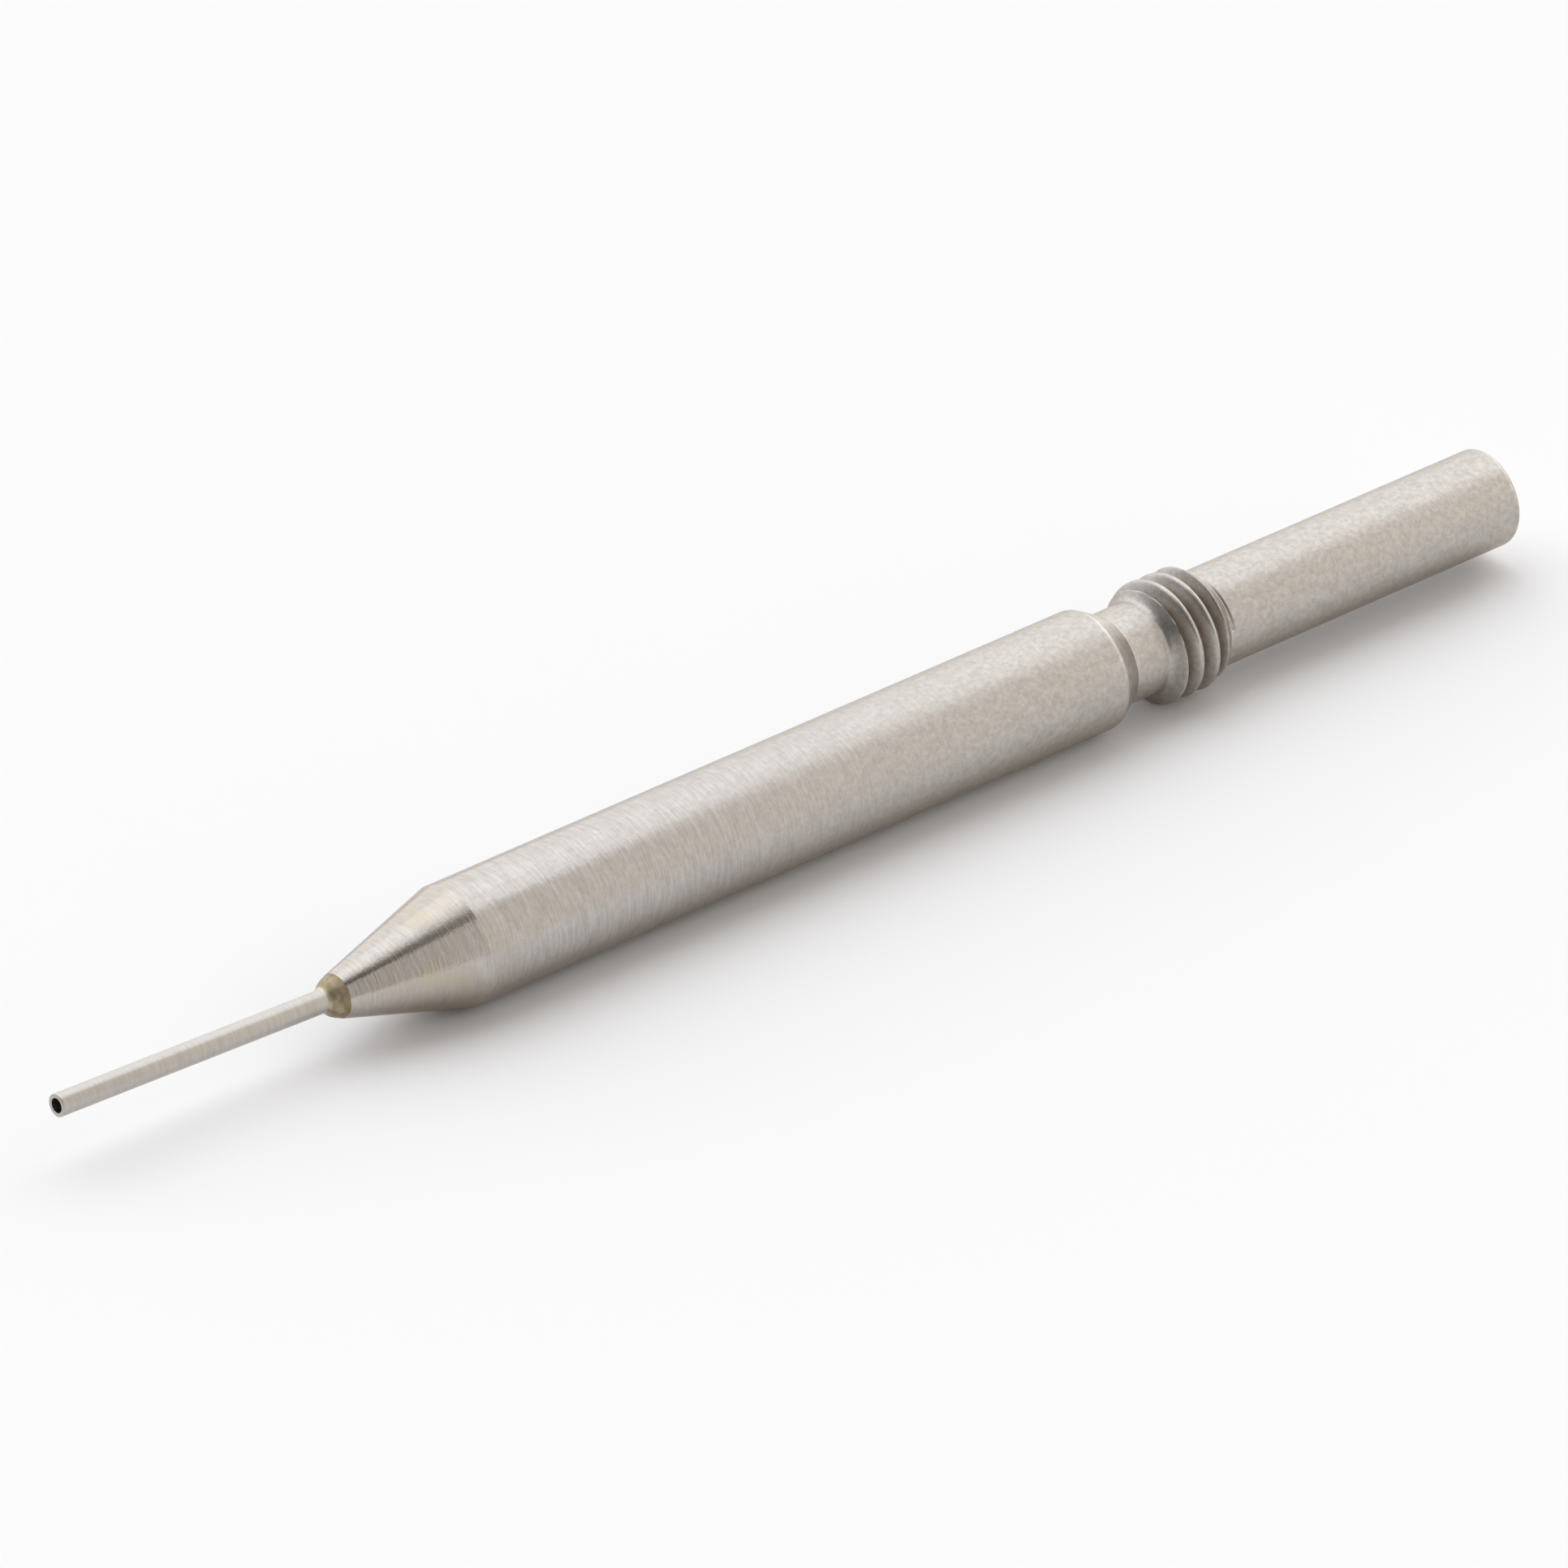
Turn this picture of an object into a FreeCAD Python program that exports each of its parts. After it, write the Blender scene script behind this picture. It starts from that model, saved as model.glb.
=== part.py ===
"""Vacuum pick-up nozzle for surface-mount parts: a turned body with an M3 thread, a needle tube
brazed into its nose, and the braze joint between the two.

Every piece is drawn about its own X axis, with x = 0 at the flat front of the nose, the tube
towards -X and the stem towards +X. The nozzle lies on its barrel: its placement lifts the axis by
half the barrel and puts the middle of the overall length over the origin.
"""
import os
import FreeCAD, Part, Sketcher

doc = FreeCAD.newDocument("PickUpNozzle")

# ---------------------------------------------------------------------------------------------
# Driving dimensions, in millimetres and degrees
# ---------------------------------------------------------------------------------------------
SIZES = [
    ("barrel_dia", 3.0, "plain barrel"),
    ("barrel_length", 19.4, "cylinder between the cone and the rear shoulder"),
    ("nose_length", 3.4, "cone, measured along the axis"),
    ("nose_front_dia", 1.1, "flat front of the cone"),
    ("shoulder_angle", 30.0, "rear shoulder of the barrel, from the axis"),
    ("neck_dia", 2.3, "relief neck in front of the thread"),
    ("neck_length", 0.94, "cylinder of the neck"),
    ("thread_dia", 3.0, "M3, major diameter"),
    ("thread_pitch", 0.5, "M3 coarse"),
    ("thread_crest", 0.1, "flat crest, measured along the axis"),
    ("thread_land", 1.23, "full-height length of the thread"),
    ("thread_front_angle", 45.0, "chamfer towards the neck, from the axis"),
    ("thread_foot_radius", 0.15, "fillet between the neck and that chamfer"),
    ("thread_rear_angle", 40.0, "chamfer towards the stem, from the axis"),
    ("thread_lead_in", 0.14, "from the end of the neck back to where the cut starts"),
    ("thread_run_out", 0.1, "how far the cut passes the foot of the rear chamfer"),
    ("stem_dia", 2.44, "passes through the mating M3 thread"),
    ("stem_length", 9.23, "plain stem behind the thread"),
    ("stem_edge_radius", 0.16, "rounded end of the stem"),
    ("air_bore_dia", 1.2, "drilled from the end of the stem"),
    ("air_bore_mouth", 0.1, "chamfer at the mouth of the air bore"),
    ("drill_point_angle", 59.0, "half angle of the drill point, from the axis"),
    ("tube_outer_dia", 0.56, "24 gauge needle tube"),
    ("tube_bore_dia", 0.36, "thin-wall bore"),
    ("tube_reach", 8.18, "from the front of the nose to the tip"),
    ("tube_seat", 4.0, "length of tube inside the nose"),
    ("tube_seat_end", 0.6, "close bore left behind the end of the tube"),
    ("tube_seat_clearance", 0.01, "all round the tube, in the close bore"),
    ("tube_lean", 2.08, "bend of the tube, upwards"),
    ("tube_bend_radius", 5.0, "centre line of the bend"),
    ("tube_bend_depth", 0.3, "from the front of the nose in to the corner of the bend"),
    ("braze_cup_dia", 0.86, "cup in the nose that takes the braze"),
    ("braze_cup_depth", 0.5, "depth of the cup"),
    ("braze_shoulder_dia", 0.69, "end of the conical part of the collar"),
    ("braze_shoulder_reach", 0.43, "from the front of the nose to that end"),
    ("braze_toe_wall", 0.015, "thickness of the toe on the tube"),
    ("braze_toe_reach", 0.52, "from the front of the nose to the toe"),
]

sheet = doc.addObject("Spreadsheet::Sheet", "Dimensions")
for row, (alias, value, note) in enumerate(SIZES, start=1):
    sheet.set("A%d" % row, note)
    sheet.set("B%d" % row, str(value))
    sheet.setAlias("B%d" % row, alias)
doc.recompute()


def size(alias):
    """A cell of the sheet, as an expression."""
    return "Dimensions." + alias


# Stations along the axis and lengths that follow from the driving sizes, as expressions.
SHOULDER_RUN = "(%s - %s) / 2 / tan(%s)" % (size("barrel_dia"), size("neck_dia"), size("shoulder_angle"))
THREAD_DEPTH = "0.6134 * %s" % size("thread_pitch")
FRONT_RUN = "(%s - %s) / 2 / tan(%s)" % (size("thread_dia"), size("neck_dia"), size("thread_front_angle"))
REAR_RUN = "(%s - %s) / 2 / tan(%s)" % (size("thread_dia"), size("stem_dia"), size("thread_rear_angle"))
NECK_END = "%s + %s + %s + %s" % (size("nose_length"), size("barrel_length"), SHOULDER_RUN, size("neck_length"))
THREAD_END = "%s + %s + %s + %s" % (NECK_END, FRONT_RUN, size("thread_land"), REAR_RUN)
STEM_END = "%s + %s" % (THREAD_END, size("stem_length"))
SEAT_END = "%s + %s" % (size("tube_seat"), size("tube_seat_end"))


def half(alias):
    """Half of a diameter, as an expression."""
    return size(alias) + " / 2"


# ---------------------------------------------------------------------------------------------
# Sketch and feature helpers
# ---------------------------------------------------------------------------------------------
def new_body(label):
    """An empty body laid on its barrel, with the overall length centred on the origin."""
    body = doc.addObject("PartDesign::Body", label)
    body.Label = label
    body.setExpression("Placement.Base.x", "(%s - (%s)) / 2" % (size("tube_reach"), STEM_END))
    body.setExpression("Placement.Base.z", "max(%s; %s) / 2" % (size("barrel_dia"), size("thread_dia")))
    return body


def new_sketch(body, name, role, offset=None):
    """A sketch on one of the body's origin planes, moved along the plane's normal by `offset`."""
    plane = [feature for feature in body.Origin.OriginFeatures if feature.Role == role][0]
    sketch = body.newObject("Sketcher::SketchObject", name)
    sketch.AttachmentSupport = [(plane, "")]
    sketch.MapMode = "FlatFace"
    if offset:
        sketch.setExpression("AttachmentOffset.Base.z", offset)
    return sketch


def bind(sketch, constraint, expression):
    """Adds a dimension and ties it to an expression."""
    index = sketch.addConstraint(constraint)
    sketch.setExpression("Constraints[%d]" % index, expression)


def draw_section(sketch, corners):
    """A closed half section. Each corner is its place along the axis and its radius, as
    expressions; "0" puts it on the sketch's own axis."""
    count = len(corners)
    rough = [FreeCAD.Vector(index + 1, (index % 3) + 1, 0) for index in range(count)]
    for index in range(count):
        sketch.addGeometry(Part.LineSegment(rough[index], rough[(index + 1) % count]), False)
    for index in range(count):
        sketch.addConstraint(Sketcher.Constraint("Coincident", index, 2, (index + 1) % count, 1))
    for index, (along, radius) in enumerate(corners):
        for kind, expression, axis in (("DistanceX", along, -2), ("DistanceY", radius, -1)):
            if expression == "0":
                sketch.addConstraint(Sketcher.Constraint("PointOnObject", index, 1, axis))
            else:
                start = rough[index].x if kind == "DistanceX" else rough[index].y
                bind(sketch, Sketcher.Constraint(kind, -1, 1, index, 1, start), expression)


def draw_circle(sketch, diameter, lift=None):
    """A circle centred on the axis, or above it by the expression `lift`. In a sketch on the YZ
    plane the second sketch direction is up."""
    circle = sketch.addGeometry(Part.Circle(FreeCAD.Vector(0, 0.01, 0), FreeCAD.Vector(0, 0, 1), 1.0), False)
    sketch.addConstraint(Sketcher.Constraint("PointOnObject", circle, 3, -2))
    if lift:
        bind(sketch, Sketcher.Constraint("DistanceY", -1, 1, circle, 3, 0.01), lift)
    else:
        sketch.addConstraint(Sketcher.Constraint("PointOnObject", circle, 3, -1))
    bind(sketch, Sketcher.Constraint("Diameter", circle, 2.0), diameter)


def turn(body, kind, name, sketch):
    """Revolves a half section about the body's X axis, to add or to cut."""
    feature = body.newObject("PartDesign::" + kind, name)
    feature.Profile = sketch
    feature.ReferenceAxis = (sketch, ["H_Axis"])
    feature.Angle = 360
    return feature


def circle_edges(shape, at_x, radius):
    """Names of the circular edges of one radius at one station on the axis."""
    names = []
    for number, edge in enumerate(shape.Edges, start=1):
        if isinstance(edge.Curve, Part.Circle) and abs(edge.Curve.Radius - radius) < 1e-4 \
                and abs(edge.Curve.Center.x - at_x) < 1e-4:
            names.append("Edge%d" % number)
    return names


def tube_path(body, name):
    """The centre line of the tube: straight in its seat, a short bend, straight to the tip. The
    corner of the bend lies on the axis."""
    sketch = new_sketch(body, name, "XZ_Plane")
    seat = sketch.addGeometry(Part.LineSegment(FreeCAD.Vector(4, 0, 0), FreeCAD.Vector(0.4, 0, 0)), False)
    bend = sketch.addGeometry(Part.ArcOfCircle(
        Part.Circle(FreeCAD.Vector(0.4, 5, 0), FreeCAD.Vector(0, 0, 1), 5), 4.6730, 4.7124), False)
    reach = sketch.addGeometry(Part.LineSegment(FreeCAD.Vector(0.2, 0.004, 0), FreeCAD.Vector(-8, 0.32, 0)), False)
    sketch.addConstraint(Sketcher.Constraint("PointOnObject", seat, 1, -1))
    sketch.addConstraint(Sketcher.Constraint("PointOnObject", seat, 2, -1))
    sketch.addConstraint(Sketcher.Constraint("Tangent", seat, 2, bend, 2))
    sketch.addConstraint(Sketcher.Constraint("Tangent", bend, 1, reach, 1))
    bind(sketch, Sketcher.Constraint("DistanceX", -1, 1, seat, 1, 4.0), size("tube_seat"))
    bind(sketch, Sketcher.Constraint("DistanceX", reach, 2, -1, 1, 8.0), size("tube_reach"))
    bind(sketch, Sketcher.Constraint("Radius", bend, 5.0), size("tube_bend_radius"))
    # The straight in the seat ends one tangent length short of the corner.
    bind(sketch, Sketcher.Constraint("DistanceX", -1, 1, seat, 2, 0.4),
         "%s + %s * tan(%s / 2)" % (size("tube_bend_depth"), size("tube_bend_radius"), size("tube_lean")))
    # The tip rises by the lean over its distance from the corner.
    bind(sketch, Sketcher.Constraint("DistanceY", -1, 1, reach, 2, 0.32),
         "(%s + %s) * tan(%s)" % (size("tube_reach"), size("tube_bend_depth"), size("tube_lean")))
    return sketch


def tube_rise(reach):
    """Height of the leaning tube over the axis, at a distance in front of the nose."""
    return "(%s + %s) * tan(%s)" % (reach, size("tube_bend_depth"), size("tube_lean"))


# ---------------------------------------------------------------------------------------------
# Nozzle body
# ---------------------------------------------------------------------------------------------
nozzle = new_body("nozzle_body")

outline = new_sketch(nozzle, "TurnedOutline", "XZ_Plane")
draw_section(outline, [
    ("0", "0"),
    ("0", half("nose_front_dia")),
    (size("nose_length"), half("barrel_dia")),
    ("%s + %s" % (size("nose_length"), size("barrel_length")), half("barrel_dia")),
    ("%s - %s" % (NECK_END, size("neck_length")), half("neck_dia")),
    (NECK_END, half("neck_dia")),
    ("%s + %s" % (NECK_END, FRONT_RUN), half("thread_dia")),
    ("%s + %s + %s" % (NECK_END, FRONT_RUN, size("thread_land")), half("thread_dia")),
    (THREAD_END, half("stem_dia")),
    (STEM_END, half("stem_dia")),
    (STEM_END, "0"),
])
blank = turn(nozzle, "Revolution", "TurnedBlank", outline)
doc.recompute()

for name, station, diameter, radius in (
        ("ThreadFoot", NECK_END, "neck_dia", "thread_foot_radius"),
        ("StemRound", STEM_END, "stem_dia", "stem_edge_radius")):
    sharp = nozzle.Tip
    at_x = float(outline.evalExpression(station))
    edge_round = nozzle.newObject("PartDesign::Fillet", name)
    edge_round.Base = (sharp, circle_edges(sharp.Shape, at_x, sheet.get(diameter) / 2))
    edge_round.setExpression("Radius", size(radius))
    doc.recompute()

# Air passage: the braze cup, the close bore for the tube, and the air bore with its drill point
# and chamfered mouth.
passage = new_sketch(nozzle, "AirPassageSection", "XZ_Plane")
SEAT_RADIUS = "%s / 2 + %s" % (size("tube_outer_dia"), size("tube_seat_clearance"))
draw_section(passage, [
    ("0", "0"),
    ("0", half("braze_cup_dia")),
    (size("braze_cup_depth"), half("braze_cup_dia")),
    (size("braze_cup_depth"), SEAT_RADIUS),
    (SEAT_END, SEAT_RADIUS),
    ("%s + (%s / 2 - (%s)) / tan(%s)" % (SEAT_END, size("air_bore_dia"), SEAT_RADIUS, size("drill_point_angle")),
     half("air_bore_dia")),
    ("%s - %s" % (STEM_END, size("air_bore_mouth")), half("air_bore_dia")),
    (STEM_END, "%s / 2 + %s" % (size("air_bore_dia"), size("air_bore_mouth"))),
    (STEM_END, "0"),
])
turn(nozzle, "Groove", "AirPassage", passage)
doc.recompute()

# M3 thread: a 60 degree groove swept round the axis, right-handed. It starts over the neck, where it
# cuts nothing, enters the front chamfer and passes the foot of the rear one. Past the crest the
# groove's section goes on outwards at the same angle.
groove = new_sketch(nozzle, "ThreadGrooveSection", "XZ_Plane")
START = "%s - %s" % (NECK_END, size("thread_lead_in"))
MOUTH_HALF = "(%s - %s) / 2" % (size("thread_pitch"), size("thread_crest"))
OVERCUT = "0.2 * %s" % size("thread_pitch")
ROOT_HALF = "%s - %s * tan(30)" % (MOUTH_HALF, THREAD_DEPTH)
TOP_HALF = "%s + %s * tan(30)" % (MOUTH_HALF, OVERCUT)
draw_section(groove, [
    ("%s - (%s)" % (START, ROOT_HALF), "%s / 2 - %s" % (size("thread_dia"), THREAD_DEPTH)),
    ("%s + (%s)" % (START, ROOT_HALF), "%s / 2 - %s" % (size("thread_dia"), THREAD_DEPTH)),
    ("%s + (%s)" % (START, TOP_HALF), "%s / 2 + %s" % (size("thread_dia"), OVERCUT)),
    ("%s - (%s)" % (START, TOP_HALF), "%s / 2 + %s" % (size("thread_dia"), OVERCUT)),
])
thread = nozzle.newObject("PartDesign::SubtractiveHelix", "M3Thread")
thread.Profile = groove
thread.ReferenceAxis = (groove, ["H_Axis"])
thread.Mode = "pitch-height-angle"
thread.LeftHanded = False
thread.Reversed = False
thread.setExpression("Pitch", size("thread_pitch"))
thread.setExpression("Height", "%s - (%s) + %s" % (THREAD_END, START, size("thread_run_out")))
doc.recompute()

# ---------------------------------------------------------------------------------------------
# Tip tube
# ---------------------------------------------------------------------------------------------
tube = new_body("tip_tube")
centre_line = tube_path(tube, "TubeCentreLine")
wall = new_sketch(tube, "TubeWall", "YZ_Plane", size("tube_seat"))
draw_circle(wall, size("tube_outer_dia"))
draw_circle(wall, size("tube_bore_dia"))
pipe = tube.newObject("PartDesign::AdditivePipe", "BentTube")
pipe.Profile = wall
pipe.Spine = (centre_line, [])
doc.recompute()

# ---------------------------------------------------------------------------------------------
# Braze joint
# ---------------------------------------------------------------------------------------------
joint = new_body("braze_joint")
plug = new_sketch(joint, "CupFillSection", "XZ_Plane")
draw_section(plug, [
    ("0", "0"),
    ("0", half("braze_cup_dia")),
    (size("braze_cup_depth"), half("braze_cup_dia")),
    (size("braze_cup_depth"), "0"),
])
turn(joint, "Revolution", "CupFill", plug)

# The collar starts on the nose's front edge and follows the leaning tube.
base = new_sketch(joint, "CollarBase", "YZ_Plane")
draw_circle(base, size("nose_front_dia"))
shoulder = new_sketch(joint, "CollarShoulder", "YZ_Plane", "-%s" % size("braze_shoulder_reach"))
draw_circle(shoulder, size("braze_shoulder_dia"), tube_rise(size("braze_shoulder_reach")))
toe = new_sketch(joint, "CollarToe", "YZ_Plane", "-%s" % size("braze_toe_reach"))
draw_circle(toe, "%s + 2 * %s" % (size("tube_outer_dia"), size("braze_toe_wall")),
            tube_rise(size("braze_toe_reach")))
collar = joint.newObject("PartDesign::AdditiveLoft", "Collar")
collar.Profile = base
collar.Sections = [shoulder, toe]
doc.recompute()

tube_in_joint = tube_path(joint, "TubeInJoint")
hole = new_sketch(joint, "TubeHole", "YZ_Plane", size("tube_seat"))
draw_circle(hole, size("tube_outer_dia"))
bore = joint.newObject("PartDesign::SubtractivePipe", "TubeBore")
bore.Profile = hole
bore.Spine = (tube_in_joint, [])
doc.recompute()

# ---------------------------------------------------------------------------------------------
# Check and write
# ---------------------------------------------------------------------------------------------
failed = [item.Name for item in doc.Objects if "Invalid" in item.State or "Error" in item.State]
if failed:
    raise RuntimeError("not built: " + ", ".join(failed))

pieces = [nozzle, tube, joint]
for piece in pieces:
    if piece.Shape.isNull() or not piece.Shape.isValid() or len(piece.Shape.Solids) != 1:
        raise RuntimeError("bad shape: " + piece.Label)

os.makedirs("parts", exist_ok=True)
for piece in pieces:
    piece.Shape.exportStep(os.path.join("parts", piece.Label + ".step"))
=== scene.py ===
"""Vacuum pick-up nozzle for small electronic parts: a turned steel body with a short M3 thread, a
needle tube seated in its nose, and the braze joint that holds the tube.

Every piece is drawn in millimetres about its own axis, with 0 at the flat front of the nose, the
tip towards -X and the stem towards +X, and is then laid on the floor in metres.
"""
import math

import bpy
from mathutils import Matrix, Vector


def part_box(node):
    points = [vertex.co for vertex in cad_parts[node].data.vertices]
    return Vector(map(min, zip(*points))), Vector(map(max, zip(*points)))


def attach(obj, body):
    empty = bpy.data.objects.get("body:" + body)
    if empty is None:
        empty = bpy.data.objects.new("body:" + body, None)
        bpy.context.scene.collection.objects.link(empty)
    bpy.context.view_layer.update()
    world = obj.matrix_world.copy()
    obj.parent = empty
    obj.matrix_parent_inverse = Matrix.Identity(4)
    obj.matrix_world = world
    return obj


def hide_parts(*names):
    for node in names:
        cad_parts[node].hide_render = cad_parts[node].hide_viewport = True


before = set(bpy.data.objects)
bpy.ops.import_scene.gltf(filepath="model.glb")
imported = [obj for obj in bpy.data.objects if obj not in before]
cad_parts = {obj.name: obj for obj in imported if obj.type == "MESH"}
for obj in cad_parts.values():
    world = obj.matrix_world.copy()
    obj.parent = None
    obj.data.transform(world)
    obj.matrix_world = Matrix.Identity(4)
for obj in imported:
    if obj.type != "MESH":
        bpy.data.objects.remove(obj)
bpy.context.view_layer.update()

# ---------------------------------------------------------------------------------------------
# Nozzle body: one bar of stainless steel, turned on a sliding-head lathe in one clamping. Cone,
# barrel, shoulder, relief neck, M3 x 0.5 thread and stem follow each other on one axis, and an air
# bore runs through all of it. The rear half was tumbled after turning.
# ---------------------------------------------------------------------------------------------
MM = 0.001  # a millimetre in metres
BARREL_RADIUS = 1.5
BARREL_LENGTH = 19.4
NOSE_LENGTH = 3.4
NOSE_FRONT_RADIUS = 0.55
NECK_RADIUS = 1.15
NECK_LENGTH = 0.94
SHOULDER_ANGLE = math.radians(30)
THREAD_RADIUS = 1.5
THREAD_PITCH = 0.5
THREAD_DEPTH = 0.6134 * THREAD_PITCH
THREAD_CREST = 0.1
THREAD_LAND = 1.23
THREAD_FRONT_ANGLE = math.radians(45)
THREAD_REAR_ANGLE = math.radians(40)
THREAD_LEAD_IN = 0.14
THREAD_RUN_OUT = 0.1
STEM_RADIUS = 1.22
STEM_LENGTH = 9.23
STEM_EDGE = 0.16
AIR_BORE_RADIUS = 0.6
AIR_BORE_MOUTH = 0.1
DRILL_POINT_ANGLE = math.radians(59)
BRAZE_CUP_RADIUS = 0.43
BRAZE_CUP_DEPTH = 0.5
TUBE_SEAT_RADIUS = 0.29
TUBE_SEAT_END = 4.6

# Radii of the edges that the CAD keeps sharp. Tumbling wore the shoulder's edge the most.
NOSE_EDGE = 0.02
CONE_EDGE = 0.06
SHOULDER_EDGE = 0.3
SHOULDER_FOOT = 0.08
MOUTH_EDGE = 0.01

# The finished thread: its groove fades in over part of a turn and lies a little further back than
# the plain cut. Its front face starts later on the neck, is steeper and has a long hollow foot.
GROOVE_SHIFT = 0.045
CUT_START_TURNS = 230 / 360
PLUNGE_TURNS = 110 / 360
FRONT_FACE_START = 0.115
FRONT_FACE_ANGLE = math.radians(62)
FRONT_FACE_FOOT = 0.28
FRONT_FACE_EDGE = 0.05
CREST_EDGE = 0.085

shoulder_end = NOSE_LENGTH + BARREL_LENGTH + (BARREL_RADIUS - NECK_RADIUS) / math.tan(SHOULDER_ANGLE)
neck_end = shoulder_end + NECK_LENGTH
land_end = neck_end + (THREAD_RADIUS - NECK_RADIUS) / math.tan(THREAD_FRONT_ANGLE) + THREAD_LAND
thread_end = land_end + (THREAD_RADIUS - STEM_RADIUS) / math.tan(THREAD_REAR_ANGLE)
stem_end = thread_end + STEM_LENGTH

# The nose's flat front is the body's lowest X, and the barrel lies on the floor.
nose_place = Vector((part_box("nozzle_body")[0].x, 0.0, BARREL_RADIUS * MM))


def add(tree, kind, links=None, **settings):
    """Adds a node with its settings. Each link or value is given for an input's name or number."""
    node = tree.nodes.new(kind)
    for name, value in settings.items():
        setattr(node, name, value)
    for socket, value in (links or {}).items():
        if isinstance(value, bpy.types.NodeSocket):
            tree.links.new(value, node.inputs[socket])
        else:
            node.inputs[socket].default_value = value
    return node


def rounded(corners):
    """The points of a half section. Each corner is its place along the axis, its radius from the
    axis and the radius of its edge, which becomes an arc on up to 45 % of either side."""
    points = []
    for index, (along, radius, edge) in enumerate(corners):
        corner = Vector((along, radius))
        if not edge:
            points.append(corner)
            continue
        before = Vector(corners[index - 1][:2]) - corner
        after = Vector(corners[(index + 1) % len(corners)][:2]) - corner
        reach = edge / math.tan(before.angle(after) / 2)
        reach = min(reach, before.length * 0.45, after.length * 0.45)
        first = corner + before.normalized() * reach
        last = corner + after.normalized() * reach
        # A small edge needs fewer steps.
        steps = 4 if edge < 0.1 else 8
        for step in range(steps + 1):
            t = step / steps
            # A quadratic arc from one side of the corner to the other.
            points.append(first * (1 - t) ** 2 + corner * 2 * t * (1 - t) + last * t ** 2)
    return points


def section_mesh(name, points, cut=()):
    """A half section as a closed chain. Cut is 1 on the rows that the thread tool shapes."""
    mesh = bpy.data.meshes.new(name)
    mesh.from_pydata([(along, radius, 0.0) for along, radius in points + points[:1]],
                     [(index, index + 1) for index in range(len(points))], [])
    flags = mesh.attributes.new("cut", "FLOAT", "POINT")
    for index, value in enumerate(cut):
        flags.data[index].value = value
    return mesh


def new_tree(name, inputs, outputs):
    """An empty Geometry Nodes tree. Its inputs and outputs are pairs of a name and a kind."""
    tree = bpy.data.node_groups.new(name, "GeometryNodeTree")
    for direction, sockets in (("INPUT", inputs), ("OUTPUT", outputs)):
        for label, kind in sockets:
            tree.interface.new_socket(label, in_out=direction, socket_type="NodeSocket" + kind)
    return tree


# Spinning a half section: a grid with one row for each point of the section and one column for
# each step round the axis. It gives each vertex its place along the axis, its radius and its turn.
spin = new_tree("Spin a half section", [("Section", "Geometry"), ("Columns", "Int")],
                [("Grid", "Geometry"), ("Along", "Float"), ("Radius", "Float"), ("Turn", "Float"),
                 ("Cut", "Float")])
given = add(spin, "NodeGroupInput").outputs
rows = add(spin, "GeometryNodeAttributeDomainSize",
           {"Geometry": given["Section"]}).outputs["Point Count"]
# One column more than the steps: the last lies on the first, and closes the seam.
columns = add(spin, "ShaderNodeMath", {0: given["Columns"], 1: 1.0}, operation="ADD").outputs[0]
grid = add(spin, "GeometryNodeMeshGrid", {"Vertices X": rows, "Vertices Y": columns}).outputs["Mesh"]
number = add(spin, "GeometryNodeInputIndex").outputs[0]
ratio = add(spin, "ShaderNodeMath", {0: number, 1: columns}, operation="DIVIDE").outputs[0]
row = add(spin, "ShaderNodeMath", {0: ratio}, operation="FLOOR").outputs[0]
column = add(spin, "ShaderNodeMath", {0: number, 1: columns}, operation="MODULO").outputs[0]
turn = add(spin, "ShaderNodeMath", {0: column, 1: given["Columns"]}, operation="DIVIDE").outputs[0]
position = add(spin, "GeometryNodeInputPosition").outputs[0]
point = add(spin, "GeometryNodeSampleIndex",
            {"Geometry": given["Section"], "Index": row, "Value": position},
            data_type="FLOAT_VECTOR").outputs[0]
cut_mark = add(spin, "GeometryNodeInputNamedAttribute", {"Name": "cut"}).outputs[0]
flag = add(spin, "GeometryNodeSampleIndex",
           {"Geometry": given["Section"], "Index": row, "Value": cut_mark}, data_type="FLOAT").outputs[0]
parts = add(spin, "ShaderNodeSeparateXYZ", {0: point}).outputs
add(spin, "NodeGroupOutput",
    {"Grid": grid, "Along": parts["X"], "Radius": parts["Y"], "Turn": turn, "Cut": flag})

SEAM_GAP = 0.0005
SHARP_ANGLE = math.radians(28)


def finish_tree(tree, grid, place, finish):
    """Moves a spun grid to its places, closes its seam, shades it smooth but for its sharp edges,
    and sets it in metres."""
    moved = add(tree, "GeometryNodeSetPosition", {"Geometry": grid, "Position": place}).outputs[0]
    closed = add(tree, "GeometryNodeMergeByDistance",
                 {"Geometry": moved, "Distance": SEAM_GAP}).outputs[0]
    angle = add(tree, "GeometryNodeInputMeshEdgeAngle").outputs["Unsigned Angle"]
    sharp = add(tree, "FunctionNodeCompare", {0: angle, 1: SHARP_ANGLE},
                operation="GREATER_THAN").outputs[0]
    smooth = add(tree, "GeometryNodeSetShadeSmooth", {"Geometry": closed, "Shade Smooth": True},
                 domain="FACE").outputs[0]
    edged = add(tree, "GeometryNodeSetShadeSmooth",
                {"Geometry": smooth, "Selection": sharp, "Shade Smooth": False},
                domain="EDGE").outputs[0]
    laid = add(tree, "GeometryNodeTransform",
               {"Geometry": edged, "Translation": nose_place, "Scale": (MM, MM, MM)}).outputs[0]
    real = add(tree, "GeometryNodeRealizeInstances", {"Geometry": laid}).outputs[0]
    coated = add(tree, "GeometryNodeSetMaterial", {"Geometry": real, "Material": finish}).outputs[0]
    add(tree, "NodeGroupOutput", {"Mesh": coated})


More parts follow.
